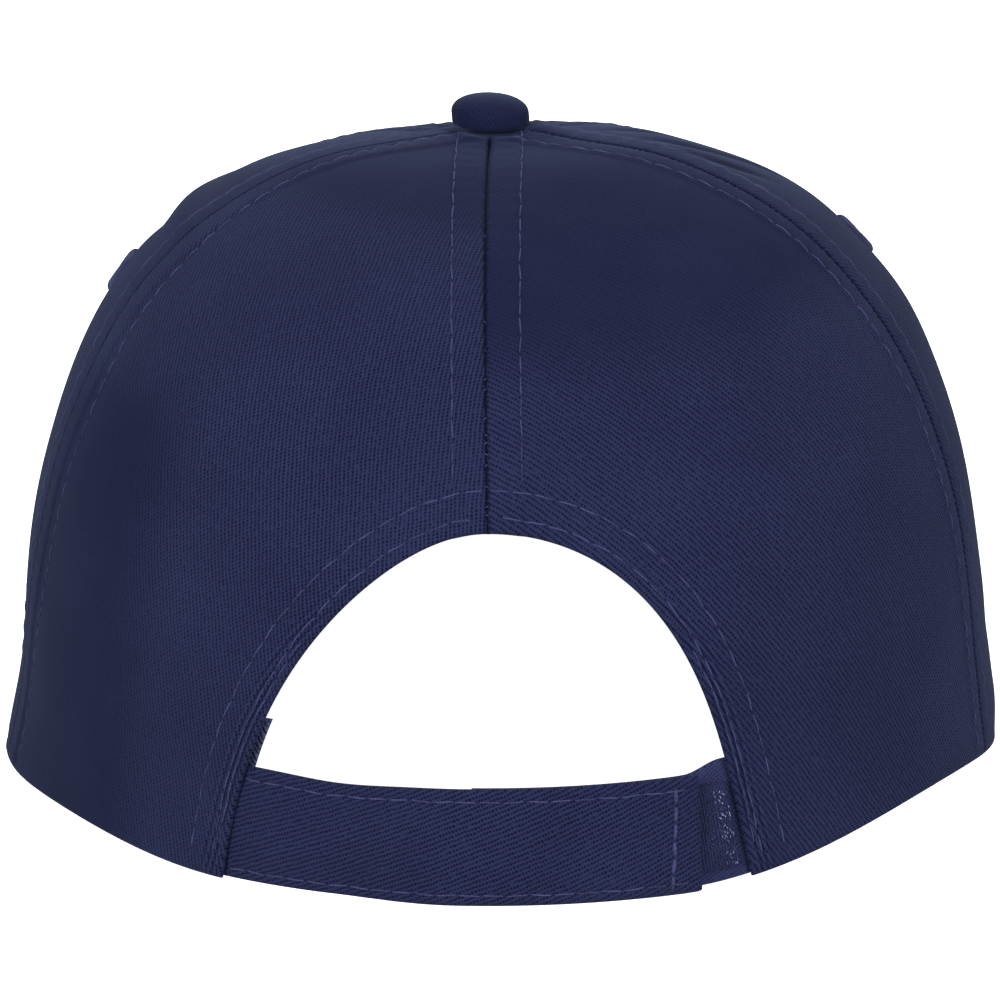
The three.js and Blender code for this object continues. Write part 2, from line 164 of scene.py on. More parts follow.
def climb_at(azimuth, share):
    column = wrapped(azimuth) + 180
    row = np.clip(share, 0, 1) * (len(SECTION_SHARES) - 1)
    left = np.clip(np.floor(column).astype(int), 0, len(SECTION_AZIMUTHS) - 2)
    low = np.clip(np.floor(row).astype(int), 0, len(SECTION_SHARES) - 2)
    across, up = column - left, row - low
    below = SECTION_CLIMB[left, low] * (1 - across) + SECTION_CLIMB[left + 1, low] * across
    above = SECTION_CLIMB[left, low + 1] * (1 - across) + SECTION_CLIMB[left + 1, low + 1] * across
    return below * (1 - up) + above * up


def crown_at(azimuth, share):
    """A point of the cloth's outer face, with its dents, and the direction out of it."""
    azimuth, share = np.broadcast_arrays(np.asarray(azimuth, float), np.asarray(share, float))
    climb = climb_at(azimuth, share)
    point = smooth_crown(azimuth, climb)
    nudge = 1e-3
    below = np.maximum(climb - nudge, 0)
    across = smooth_crown(azimuth + np.degrees(nudge), climb) - point
    upwards = smooth_crown(azimuth, below + nudge) - smooth_crown(azimuth, below)
    out = unit(np.cross(across, upwards))
    dent = 0
    for middle, height, spread, up, way in DENTS:
        aside = wrapped(azimuth - middle) / spread
        over = (point[..., 2] / CROWN_HEIGHT - height) / up
        dent = dent + way * np.exp(-aside**2 - over**2)
    level = np.ones(point.shape)
    level[..., 2] = np.clip(point[..., 2] / DENTS_LEVEL_BELOW, 0, 1)
    return point + unit(out * level) * dent[..., None], out


def fade(value, start, end):
    """1 before start, 0 after end, and smooth between them."""
    t = np.clip((value - start) / (end - start), 0, 1)
    return 1 - t * t * (3 - 2 * t)


def nearest(points, line):
    """How far each point is from a line, and how far along it the nearest place is."""
    starts, runs = line[:-1], np.diff(line, axis=0)
    sizes = np.maximum(np.linalg.norm(runs, axis=1), 1e-9)
    passed = lengths_along(line)
    best = np.full(len(points), 1e9)
    along = np.zeros(len(points))
    for start, run, size, before in zip(starts, runs, sizes, passed):
        from_start = points - start
        t = np.clip(from_start @ run / size**2, 0, 1)
        away = np.linalg.norm(from_start - t[:, None] * run, axis=1)
        closer = away < best
        best[closer] = away[closer]
        along[closer] = before + t[closer] * size
    return best, along


def rolled(away, radius):
    """How far an edge has turned in, at a distance from it."""
    left = np.clip(radius - away, 0, radius)
    return radius - np.sqrt(radius**2 - left**2)


STITCH_PITCH = 4.1
ROW_BESIDE_SEAM = 5.5
SEAM_ROLL = 0.55
FOLD_ROLL = 0.6
SEAM_STANDS = 0.3
FOLD_STANDS = 0.15
SOFT_WAVES = 0.2
PUCKER = 0.03
GROOVE_WIDTH = 0.36
GROOVE_DEPTH = 0.5
WRINKLE = 0.13
WRINKLE_PITCH = 1.2
ROW_SINKS = 0.13
CREASE_DEPTH = 0.5
CREASE_FADE = 12


def relief(points, seams, folds, rows, creases=()):
    """How far the cloth stands off at seams, folds, stitch rows and creases, and its painted shading: painted
    shade in seam grooves, stitch rows, creases and between wrinkles, painted light on wrinkle ridges.
    """
    x, y, z = points.T
    out = SOFT_WAVES * np.sin(x / 11 + z / 17 + 1) * np.sin(y / 13 - z / 9)
    painted_shading = np.zeros(len(points))
    for number, (seam, depth) in enumerate(seams):
        away, along = nearest(points, seam)
        tug = np.sin(2 * np.pi * along / 1.5 + 2 * np.sin(along / 3.7 + number)) * np.sin(along / 2.9 + 1)
        groove = depth * np.exp(-((away / (GROOVE_WIDTH + 0.25 * tug)) ** 2))
        out += SEAM_STANDS * fade(away, 5, 7) - 0.12 * depth * np.exp(-((away / 1.3) ** 2))
        out -= (0.3 + 0.7 * depth) * rolled(away, SEAM_ROLL) + GROOVE_DEPTH * groove
        pucker = np.sin(2 * np.pi * along / STITCH_PITCH + 1.4 * np.sin(along / 13 + number))
        out += PUCKER * pucker * fade(-away, -2, -0.6) * fade(away, 4.5, 8)
        # Painted shade: the seam's groove is darkened, more in some places along it than in others.
        groove_shade_varies = 0.55 + 0.45 * np.sin(2 * np.pi * along / 2.4 + 3 * np.sin(along / 5))
        painted_shading -= 1.8 * groove * groove_shade_varies
    for fold in folds:
        away, along = nearest(points, fold)
        out += FOLD_STANDS * fade(away, 6.5, 8.5)
        pucker = np.sin(2 * np.pi * along / STITCH_PITCH + 2 * np.sin(along / 9))
        out += PUCKER * pucker * fade(-away, -4, -2.5) * fade(away, 6.5, 9)
        wrinkle = np.sin(2 * np.pi * (away / WRINKLE_PITCH + 0.35 * np.sin(along / 7) + along / 23))
        wrinkle = wrinkle * fade(-away, -1, -0.4) * fade(away, 3.6, 5.2) * fade(along, 40, 66)
        out += WRINKLE * wrinkle
        # Painted light and shade: the wrinkles are lighter on their ridges and darker between them.
        painted_shading += 1.1 * wrinkle
    for row in rows:
        away, along = nearest(points, row)
        hole = 0.6 + 0.4 * np.cos(2 * np.pi * along / STITCH_PITCH)
        out -= ROW_SINKS * np.exp(-((away / 0.7) ** 2)) * hole
        # Painted shade along each stitch row.
        painted_shading -= 0.22 * np.exp(-((away / 0.5) ** 2)) * hole
    for crease in creases:
        away, along = nearest(points, crease)
        length = lengths_along(crease)[-1]
        ends = fade(-along, -CREASE_FADE, 0) * fade(along, length - CREASE_FADE, length)
        out -= CREASE_DEPTH * np.exp(-((away / 1.6) ** 2)) * ends
        # Painted shade along each crease.
        painted_shading -= np.exp(-((away / 1.5) ** 2)) * ends
    near_button = fade(-np.linalg.norm(points[:, :2], axis=1), -9, -6)
    return out * near_button, np.clip(painted_shading, -1.5, 1) * near_button


def hem_angle(length, azimuth):
    """A length along the hem as an angle."""
    hem = smooth_crown(np.asarray(float(azimuth)), np.asarray(0.0))
    return np.degrees(length / np.hypot(hem[0], hem[1]))


ARCH_FOOT = np.degrees(np.arcsin(ARCH_WIDTH / RIM_WIDTH))
ARCH_TOP = ARCH_HEIGHT / cloth_height(ARCH_MIDDLE)


def arch_offset(up, side):
    """The angle from the middle of the arch to its edge: the left leg splays, the right one bends inwards."""
    even = ARCH_FOOT * np.sqrt(np.maximum(1 - up**2, 0))
    down = 1 - up
    lean = 0.28 * (1 - up**10) + 0.5 * down + down**4 if side < 0 else -6.9 * up * down**2.5
    return side * (even * (1 + side * ARCH_SKEW * up**3) + lean)


def seam_edge(seam):
    hem, button, lateness = seam
    return lambda up: (hem + (button - hem) * up**lateness, up)


def back_edge(side):
    """Up the arch from its foot, then up the seam to the button."""
    def edge(up):
        arch_up = np.sin(np.pi / 2 * np.minimum(up / ROWS_BESIDE_ARCH, 1))
        above = np.maximum(up - ROWS_BESIDE_ARCH, 0) / (1 - ROWS_BESIDE_ARCH)
        share = ARCH_TOP * arch_up + (1 - ARCH_TOP) * above
        on_arch = ARCH_MIDDLE + arch_offset(arch_up, side)
        return np.where(above > 0, seam_edge(BACK_SEAM)(share)[0], on_arch), share
    return edge


def line_of(edge, start=0, end=1, steps=260):
    """An edge of a panel as azimuths and shares."""
    return edge(np.linspace(start, end, steps))


def offset_line(line, away):
    """A line moved across the cloth, to the left of its own direction as seen from outside."""
    azimuth, share = line
    point, out = crown_at(azimuth, share)
    step = 0.2
    by_azimuth = (crown_at(azimuth + step, share)[0] - crown_at(azimuth - step, share)[0]) / (2 * step)
    low, high = np.maximum(share - 1e-3, 0), np.minimum(share + 1e-3, 1)
    by_share = (crown_at(azimuth, high)[0] - crown_at(azimuth, low)[0]) / (high - low)[:, None]
    aside = np.cross(out, unit(np.gradient(point, axis=0))) * away
    aa = (by_azimuth**2).sum(-1)
    ss = (by_share**2).sum(-1)
    mixed = (by_azimuth * by_share).sum(-1)
    on_a = (aside * by_azimuth).sum(-1)
    on_s = (aside * by_share).sum(-1)
    area = aa * ss - mixed**2
    return (
        azimuth + (on_a * ss - on_s * mixed) / area,
        share + (on_s * aa - on_a * mixed) / area,
    )


def part_of(line, keep):
    kept = keep(*line)
    return line[0][kept], line[1][kept]


def spread_nodes(near, far, width, count):
    """Places across a width, close together at both ends."""
    return np.concatenate([near, np.linspace(near[-1], width - far[-1], count + 2)[1:-1], width - far[::-1]])


EDGE_NODES = np.array([
    0, 0.05, 0.14, 0.28, 0.46, 0.66, 0.88, 1.12, 1.37, 1.62, 1.87, 2.12, 2.37, 2.65,
    2.95, 3.3, 3.7, 4.1, 4.5, 4.9, 5.3, 5.7, 6.1, 6.6, 7.0, 7.4, 8.0, 8.7,
])
HEM_NODES = np.array([0, 0.05, 0.14, 0.28, 0.46, 0.66, 1, 1.5, 2.1])
PANEL_ROWS = 280
PANEL_LENGTH = 150


def panel_grid(left_edge, right_edge, middle):
    """Azimuths and shares of a panel's grid, its columns gathered along the two edges."""
    first_row = 2.8 / PANEL_LENGTH
    ups = np.concatenate([HEM_NODES / PANEL_LENGTH, np.linspace(first_row, 1, PANEL_ROWS)])
    ups = np.sort(np.append(ups, ROWS_BESIDE_ARCH))
    (left_a, left_s), (right_a, right_s) = left_edge(ups), right_edge(ups)
    t = np.linspace(0, 1, 33)
    azimuth = left_a[:, None] + (right_a - left_a)[:, None] * t
    share = left_s[:, None] + (right_s - left_s)[:, None] * t
    points = crown_at(azimuth, share)[0]
    width = lengths_along(points)[:, -1]

    def crossing(edge, inwards):
        along = unit(np.gradient(points[:, edge], axis=0))
        return np.linalg.norm(np.cross(along, unit(inwards)), axis=1)

    ease = np.ones(9) / 9
    columns = []
    sines = []
    for sine in (crossing(0, points[:, 1] - points[:, 0]), crossing(-1, points[:, -2] - points[:, -1])):
        padded = np.pad(np.clip(sine, 0.4, 1), 4, mode="edge")
        sines.append(np.convolve(padded, ease, mode="valid"))
    for row in range(len(ups)):
        near, far = EDGE_NODES / sines[0][row], EDGE_NODES / sines[1][row]
        room = 0.8 * width[row] / (near[-1] + far[-1])
        shrink = min(room, 1)
        columns.append(spread_nodes(near * shrink, far * shrink, width[row], middle) / width[row])
    across = np.array(columns)
    azimuth = left_a[:, None] + (right_a - left_a)[:, None] * across
    share = left_s[:, None] + (right_s - left_s)[:, None] * across
    return azimuth, share


def grid_faces(rows, columns, missing=None):
    """The faces of a closed sheet: an outer grid of points, then the same grid for the inner face."""
    ids = np.arange(rows * columns).reshape(rows, columns)
    kept = np.ones((rows + 1, columns + 1), bool)
    kept[0] = kept[-1] = False
    kept[:, 0] = kept[:, -1] = False
    if missing is not None:
        kept[1:-1, 1:-1] &= ~missing
    cells = kept[1:-1, 1:-1]
    corners = [ids[:-1, :-1], ids[:-1, 1:], ids[1:, 1:], ids[1:, :-1]]
    beyond = [kept[:-2, 1:-1], kept[1:-1, 2:], kept[2:, 1:-1], kept[1:-1, :-2]]
    outer = np.stack([corner[cells] for corner in corners], axis=-1)
    faces = [outer, outer[:, ::-1] + rows * columns]
    for number, neighbour in enumerate(beyond):
        edge = cells & ~neighbour
        start, end = corners[number][edge], corners[(number + 1) % 4][edge]
        faces.append(np.stack([start, start + rows * columns, end + rows * columns, end], axis=-1))
    return np.concatenate(faces)


def make_piece(name, points, faces, material, nodes, weave, wear_and_painted_shading=None, body="root"):
    mesh = bpy.data.meshes.new(name)
    mesh.from_pydata(((points + CROWN_MIDDLE) * MM).tolist(), [], [list(face) for face in faces])
    mesh.update()
    mesh.shade_smooth()
    attributes = {"weave": weave.T}
    if wear_and_painted_shading is not None:
        attributes["wear_and_painted_shading"] = wear_and_painted_shading
    for label, (first, second) in attributes.items():
        attribute = mesh.attributes.new(label, "FLOAT_VECTOR", "POINT")
        values = np.stack([first, second, 0 * first], axis=1)
        attribute.data.foreach_set("vector", values.astype(np.float32).ravel())
    mesh.materials.append(material)
    piece = bpy.data.objects.new(name, mesh)
    bpy.context.scene.collection.objects.link(piece)
    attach(piece, body)
    if nodes:
        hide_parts(*nodes)


class Finish:
    """A material's nodes, added one after another."""

    def __init__(self, name, roughness, specular, sheen, sheen_colour):
        self.material = bpy.data.materials.new(name)
        self.material.use_nodes = True
        self.nodes = self.material.node_tree.nodes
        self.shader = self.nodes["Principled BSDF"]
        self.shader.inputs["Roughness"].default_value = roughness
        self.shader.inputs["Specular IOR Level"].default_value = specular
        self.shader.inputs["Sheen Weight"].default_value = sheen
        self.shader.inputs["Sheen Roughness"].default_value = 0.4
        self.shader.inputs["Sheen Tint"].default_value = (*sheen_colour, 1)

    def link(self, source, target):
        self.material.node_tree.links.new(source, target)

    def maths(self, operation, *values, clamp=False):
        node = self.nodes.new("ShaderNodeMath")
        node.operation = operation
        node.use_clamp = clamp
        for number, value in enumerate(values):
            if isinstance(value, (int, float)):
                node.inputs[number].default_value = value
            else:
                self.link(value, node.inputs[number])
        return node.outputs[0]

    def plus(self, first, second, clamp=False):
        return self.maths("ADD", first, second, clamp=clamp)

    def minus(self, first, second):
        return self.maths("SUBTRACT", first, second)

    def times(self, first, second):
        return self.maths("MULTIPLY", first, second)

    def noise(self, vector, scale, detail):
        node = self.nodes.new("ShaderNodeTexNoise")
        node.inputs["Scale"].default_value = scale
        node.inputs["Detail"].default_value = detail
        node.inputs["Roughness"].default_value = 0.5
        self.link(vector, node.inputs["Vector"])
        return node.outputs["Fac"]

    def attribute(self, name):
        """What the mesh says at each point: the place on the cloth, or how worn it is and its painted
        shading.
        """
        node = self.nodes.new("ShaderNodeAttribute")
        node.attribute_name = name
        split = self.nodes.new("ShaderNodeSeparateXYZ")
        self.link(node.outputs["Vector"], split.inputs[0])
        return node.outputs["Vector"], split.outputs[0], split.outputs[1]

    def place(self):
        return self.nodes.new("ShaderNodeTexCoord").outputs["Object"]

    def mix(self, share, first, second):
        node = self.nodes.new("ShaderNodeMix")
        node.data_type = "RGBA"
        for socket, value in (("A", first), ("B", second)):
            target = [s for s in node.inputs if s.name == socket and s.type == "RGBA"][0]
            if isinstance(value, tuple):
                target.default_value = (*value, 1)
            else:
                self.link(value, target)
        self.link(share, node.inputs[0])
        return [s for s in node.outputs if s.type == "RGBA"][0]

    def bump(self, height, millimetres, strength):
        node = self.nodes.new("ShaderNodeBump")
        node.inputs["Distance"].default_value = millimetres * MM
        node.inputs["Strength"].default_value = strength
        self.link(height, node.inputs["Height"])
        self.link(node.outputs["Normal"], self.shader.inputs["Normal"])


PIT_SPACING = 0.66


def twill_finish(name, dark, light, pitch=0.82, depth=0.17, pits=1.0):
    """Cotton twill: slanting ribs with a row of small dark pits between each two, worn smoother in places,
    with painted shade in hollows and painted light on wrinkle ridges.
    """
    finish = Finish(name, 0.92, 0.1, 0.1, (0.4, 0.55, 1.0))
    vector, along, across = finish.attribute("weave")
    place = finish.place()
    wander = finish.plus(
        finish.times(finish.noise(vector, 0.09, 3), 1.1), finish.times(finish.noise(vector, 0.55, 2), 0.5),
    )
    ribs = finish.plus(finish.maths("DIVIDE", across, pitch), wander)
    row = finish.maths("FLOOR", finish.plus(ribs, 0.5))
    from_row = finish.maths("ABSOLUTE", finish.minus(ribs, row))
    rib = finish.maths("SINE", finish.times(from_row, np.pi))
    turn = finish.plus(finish.times(along, 2 * np.pi / PIT_SPACING), finish.times(row, 2.2))
    turn = finish.plus(turn, finish.times(finish.noise(vector, 0.5, 2), 7.0))
    open_part = finish.plus(finish.times(finish.maths("SINE", turn), 0.5), 0.5)
    between = finish.minus(1, rib)
    # The second attribute holds the wear and the painted shading: painted shade in hollows, painted light on
    # ridges.
    wear, painted_shading = finish.attribute("wear_and_painted_shading")[1:]
    crisp = finish.minus(1, finish.times(wear, 0.85))
    patchy = finish.plus(finish.times(finish.noise(place, 38, 3), 1.2), 0.3)
    crisp = finish.times(crisp, patchy)
    rib = finish.times(rib, crisp)
    deep = finish.times(crisp, pits)
    pit = finish.times(finish.times(between, open_part), deep)
    uneven = finish.minus(finish.times(finish.noise(vector, 1, 2), 4), 1.1)
    pit = finish.times(pit, finish.maths("MINIMUM", finish.maths("MAXIMUM", uneven, 0.1), 1.6))
    yarn = finish.noise(vector, 2.6, 2)
    height = finish.minus(finish.times(rib, 0.6), pit)
    height = finish.plus(height, finish.times(yarn, 0.4))
    finish.bump(height, depth, 0.9)
    patches = finish.noise(place, 55, 4)
    shade = finish.plus(finish.times(rib, 0.3), finish.times(yarn, 0.5))
    shade = finish.plus(shade, finish.times(patches, 0.45))
    shade = finish.minus(shade, finish.times(pit, 1.7))
    # Painted shade and light: darker in seam grooves, stitch rows and creases, lighter on wrinkle ridges.
    shade = finish.plus(shade, finish.times(painted_shading, 0.45))
    rubbed = finish.minus(0.12, finish.times(wear, 0.3))
    shade = finish.plus(shade, rubbed, clamp=True)
    finish.link(finish.mix(shade, dark, light), finish.shader.inputs["Base Color"])
    return finish.material


THREAD_TWIST = 0.8


def thread_finish(name, dark, light):
    """Sewing thread: two plies twisted together, a little glossier than the cloth."""
    finish = Finish(name, 0.75, 0.2, 0.15, (0.55, 0.6, 1.0))
    vector, along, across = finish.attribute("weave")
    turn = finish.plus(finish.times(along, 2 * np.pi / THREAD_TWIST), across)
    ply = finish.plus(finish.times(finish.maths("SINE", turn), 0.5), 0.5)
    finish.bump(ply, 0.08, 0.8)
    worn = finish.times(finish.noise(finish.place(), 260, 2), 2.8)
    rubbed = finish.minus(worn, 0.95)
    shade = finish.plus(finish.times(ply, 0.35), rubbed, clamp=True)
    finish.link(finish.mix(shade, dark, light), finish.shader.inputs["Base Color"])
    return finish.material


twill = twill_finish("navy_twill", (0.0026, 0.0036, 0.02), (0.0184, 0.0234, 0.0675))
thread = thread_finish("navy_thread", (0.014, 0.017, 0.05), (0.042, 0.048, 0.13))


def along_ribs(u, v, rib_slope):
    """Places on flat cloth, turned so that the twill's ribs run along the first axis."""
    slope = np.radians(rib_slope)
    return np.stack([u * np.cos(slope) + v * np.sin(slope), v * np.cos(slope) - u * np.sin(slope)], axis=-1)


def weave_at(azimuth, share, middle, gore_turn, rib_slope):
    """Where a point of the crown lies on the cut cloth."""
    point = crown_at(azimuth, share)[0]
    reach = np.hypot(point[..., 0], point[..., 1]) / gore_turn
    aside = np.radians(azimuth - middle) * gore_turn
    u = reach * np.sin(aside)
    v = share * cloth_height(azimuth) + reach * (1 - np.cos(aside))
    return along_ribs(u, v, rib_slope)


class Panel:
    """One gore of the crown, as cloth with its seams, folded edges and stitch rows."""

    def __init__(
        self, name, left_edge, right_edge, seams, folds, rows, cut, wear, eyelet=None, creases=(), middle=34,
    ):
        self.name = name
        self.seams = [(crown_at(*line)[0], depth) for line, depth in seams]
        self.creases = [crown_at(*line)[0] for line in creases]
        self.folds = [crown_at(*line)[0] for line in folds]
        self.rows = rows
        self.row_lines = [crown_at(*line)[0] for line in rows]
        azimuth, share = panel_grid(left_edge, right_edge, middle)
        rows_up, columns = azimuth.shape
        azimuth, share = azimuth.ravel(), share.ravel()
        base, out = crown_at(azimuth, share)
        raised, painted_shading = relief(base, self.seams, self.folds, self.row_lines, self.creases)
        height = share * cloth_height(azimuth)
        turned = rolled(height, FOLD_ROLL)
        lining = np.full(len(base), CLOTH)
        for fold in self.folds:
            turned = np.maximum(turned, rolled(nearest(base, fold)[0], FOLD_ROLL))
        for seam, depth in self.seams:
            lining += 0.5 * fade(nearest(base, seam)[0], 5, 7)
        raised *= fade(-height, -2, 0)
        outer = base + out * (raised - turned)[:, None]
        inner = base + out * (0.6 * np.minimum(raised, 0) - lining + turned)[:, None]
        lowest = hem_lift(azimuth)
        outer[:, 2] = np.maximum(outer[:, 2], lowest)
        inner[:, 2] = np.maximum(inner[:, 2], lowest)
        weave = weave_at(azimuth, share, *cut)
        worn = wear(azimuth, share)
        missing = None
        if eyelet:
            from_eyelet = np.linalg.norm(base - crown_at(*eyelet)[0], axis=1).reshape(rows_up, columns)
            missing = from_eyelet[:-1, :-1] < EYELET_CUT
        # Each point carries its wear and its painted shading; the inner face gets no painted shading.
        make_piece(
            f"{name}_cloth", np.concatenate([outer, inner]), grid_faces(rows_up, columns, missing), twill,
            [name], np.concatenate([weave, weave]),
            (np.tile(worn, 2), np.append(painted_shading, 0 * painted_shading)),
        )

    def surface(self, azimuth, share):
        """The outer face and the direction out of it, for what is sewn onto it."""
        base, out = crown_at(azimuth, share)
        flat = base.reshape(-1, 3)
        raised = relief(flat, self.seams, self.folds, self.row_lines)[0].reshape(azimuth.shape)
        return base + out * raised[..., None], out


STITCH_LEAN = 0.16
THREAD_THICKNESS = 0.29


def sew(name, rows, surface, thickness=THREAD_THICKNESS, pitch=STITCH_PITCH, lift=0.16, yarn=thread):
    """Rows of stitches, each stitch a thread that comes out of the cloth and goes back in."""
    points, faces, weaves = [], [], []
    rings, around = 7, 6
    reach = np.linspace(0.01, 0.99, rings)
    arch = np.sin(np.pi * np.linspace(0, 1, rings)) ** 0.5
    rise = lift * arch - 0.36 * thickness
    wide = thickness * (0.3 + 0.22 * arch)
    turn = 2 * np.pi * np.arange(around) / around
    count = 0
    for azimuth, share in rows:
        base = surface(azimuth, share)[0]
        length = lengths_along(base)
        holes = np.arange(0, length[-1], pitch)
        if len(holes) < 2:
            continue
        hole_a, hole_s = np.interp(holes, length, azimuth), np.interp(holes, length, share)
        a = hole_a[:-1, None] + np.diff(hole_a)[:, None] * reach
        s = hole_s[:-1, None] + np.diff(hole_s)[:, None] * reach
        middle, out = surface(a, s)
        middle = middle + out * rise[:, None]
        along = unit(np.gradient(middle, axis=1))
        aside = unit(np.cross(along, out))
        lean = STITCH_LEAN * pitch / STITCH_PITCH * np.sin(2.4 * np.arange(len(holes) - 1))
        middle = middle + aside * (lean[:, None] * (2 * reach - 1))[..., None]
        ring = (
            middle[:, :, None]
            + aside[:, :, None] * (wide[:, None] * np.cos(turn))[..., None]
            + out[:, :, None] * (0.85 * wide[:, None] * np.sin(turn))[..., None]
        )
        stitches = len(holes) - 1
        points.append(ring.reshape(-1, 3))
        far = np.broadcast_to(reach[:, None] * pitch, (stitches, rings, around))
        round_it = np.broadcast_to(turn, (stitches, rings, around))
        weaves.append(np.stack([far, round_it], axis=-1).reshape(-1, 2))
        for stitch in range(stitches):
            first = count + stitch * rings * around
            for step in range(rings - 1):
                low, high = first + step * around, first + (step + 1) * around
                for k in range(around):
                    n = (k + 1) % around
                    faces.append((low + k, high + k, high + n, low + n))
            faces.append(tuple(first + k for k in range(around)))
            last = first + (rings - 1) * around
            faces.append(tuple(last + k for k in reversed(range(around))))
        count += stitches * rings * around
    make_piece(name, np.concatenate(points), faces, yarn, [], np.concatenate(weaves))


OUTER_ARCH_ROW = 7.3
INNER_ARCH_ROW = 2.5
ROW_ALONG_FOLD = 1.4
ROW_INSIDE_SIDE_SEAM = 5
ROWS_BESIDE_BACK_SEAM = {-1: 5.8, 1: 6.1}
BELOW_BUTTON = 0.985


def arch_rows(side):
    edge = line_of(back_edge(side), 0.02, ROWS_BESIDE_ARCH)
    beside = (lambda a, s: a <= ARCH_MIDDLE) if side < 0 else (lambda a, s: a >= ARCH_MIDDLE)
    return [part_of(offset_line(edge, -side * away), beside) for away in (OUTER_ARCH_ROW, INNER_ARCH_ROW)]


def seam_row(seam, side, away, start=0.015, end=BELOW_BUTTON):
    """A row of stitches beside a seam, on its left (-1) or right (1) as seen from outside."""
    return offset_line(line_of(seam_edge(seam), start, end), -side * away)


def worn_left(azimuth, share):
    """Smooth near the button, and low down beside the side seam."""
    return np.maximum(1 - fade(share, 0.71, 0.8), fade(azimuth, -56, -44) * fade(share, 0.42, 0.52))


def worn_right(azimuth, share):
    return 1 - fade(share, 0.5, 0.62)


# The middle of each cut piece, how far its ribs turn with the seams, and their slope
LEFT_CUT = (-42, 0.58, 104.5)
RIGHT_CUT = (35, 0.85, 124)
SIDE_SEAM_DEPTH = {-1: 0.12, 1: 0.9}
above_arch = ARCH_TOP + (OUTER_ARCH_ROW + 1) / cloth_height(ARCH_MIDDLE)
for side, name, seam, cut, wear in (
    (-1, "left", LEFT_SIDE_SEAM, LEFT_CUT, worn_left),
    (1, "right", RIGHT_SIDE_SEAM, RIGHT_CUT, worn_right),
):
    edges = [seam_edge(seam), back_edge(side)][::side * -1]
    if side < 0:
        side_row = line_of(seam_edge(LEFT_INNER_ROW), 0.015, 0.97)
    else:
        side_row = seam_row(seam, -side, ROW_INSIDE_SIDE_SEAM)
    rows = [
        *arch_rows(side),
        offset_line(line_of(back_edge(side), 0.034, 0.3), -side * ROW_ALONG_FOLD),
        seam_row(BACK_SEAM, side, ROWS_BESIDE_BACK_SEAM[side], start=above_arch),
        side_row,
    ]
    seams = [
        (line_of(seam_edge(BACK_SEAM), ARCH_TOP), 1),
        (line_of(seam_edge(seam)), SIDE_SEAM_DEPTH[side]),
    ]
    arch = line_of(back_edge(side), 0, ROWS_BESIDE_ARCH)
    panel = Panel(f"back_panel_{name}", *edges, seams, [arch], rows, cut, wear)
    sew(f"back_stitches_{name}", rows, panel.surface)

# Here and there the thread that joins the two panels shows across their seam
chance = np.random.default_rng(3)
crossings = []
for share in np.cumsum(0.008 + 0.02 * chance.random(60) ** 2) + ARCH_TOP + 0.01:
    if share < BELOW_BUTTON:
        azimuth = seam_edge(BACK_SEAM)(share)[0]
        half = np.degrees(0.42 / (90 * np.sqrt(1 - share**6)))
        tilt = 0.004 * (chance.random() - 0.5)
        across = np.linspace(-1, 1, 5)
        crossings.append((azimuth + half * across, share + tilt * across))
sew("back_seam_thread", crossings, crown_at, 0.2, 0.7, 0.25)

# The two side panels
# The same twill, sewn to the back and to the front panel, with a row of stitches inside each seam. One
# eyelet is sewn through each of them, near the top.
LEFT_FRONT_SEAM = (-125, -125, 1)
RIGHT_FRONT_SEAM = (125, 125, 1)
EYELETS = {-1: (-96, 0.556), 1: (96, 0.582)}
EYELET_CUT = 2.2
PULLED_CREASES = [
    (np.array([74, 84, 92, 96]), np.array([0.87, 0.8, 0.73, 0.65])),
    (np.array([72, 79, 83]), np.array([0.82, 0.745, 0.68])),
    (np.array([84, 95, 101, 103]), np.array([0.91, 0.84, 0.77, 0.69])),
]


def worn_sides(azimuth, share):
    return 0.45 + 0.4 * (1 - fade(share, 0.5, 0.7))


for side, name, back_seam, front_seam, cut, creases, middle in (
    (-1, "left", LEFT_SIDE_SEAM, LEFT_FRONT_SEAM, (-105, 0.6, 104), [], 34),
    (1, "right", RIGHT_SIDE_SEAM, RIGHT_FRONT_SEAM, (100, 0.7, 131), PULLED_CREASES, 66),
):
    edges = [seam_edge(front_seam), seam_edge(back_seam)][::-side]
    rows = [seam_row(back_seam, side, ROW_BESIDE_SEAM), seam_row(front_seam, -side, ROW_BESIDE_SEAM)]
    seams = [(line_of(seam_edge(back_seam)), SIDE_SEAM_DEPTH[side]), (line_of(seam_edge(front_seam)), 0.6)]
    panel = Panel(
        f"side_panel_{name}", *edges, seams, [], rows, cut, worn_sides, EYELETS[side], creases, middle,
    )
    sew(f"side_stitches_{name}", rows, panel.surface)

# The front panel
# One wide piece of twill without a seam in its middle, stitched beside both of its seams.
FAR_FRONT_SEAM = (235, 235, 1)
FRONT_CUT = (180, 0.7, 64)
rows = [seam_row(RIGHT_FRONT_SEAM, 1, ROW_BESIDE_SEAM), seam_row(FAR_FRONT_SEAM, -1, ROW_BESIDE_SEAM)]
seams = [(line_of(seam_edge(RIGHT_FRONT_SEAM)), 0.6), (line_of(seam_edge(FAR_FRONT_SEAM)), 0.6)]
front_panel = Panel(
    "front_panel", seam_edge(RIGHT_FRONT_SEAM), seam_edge(FAR_FRONT_SEAM), seams, [], rows, FRONT_CUT,
    worn_sides,
)
sew("front_stitches", rows, front_panel.surface)

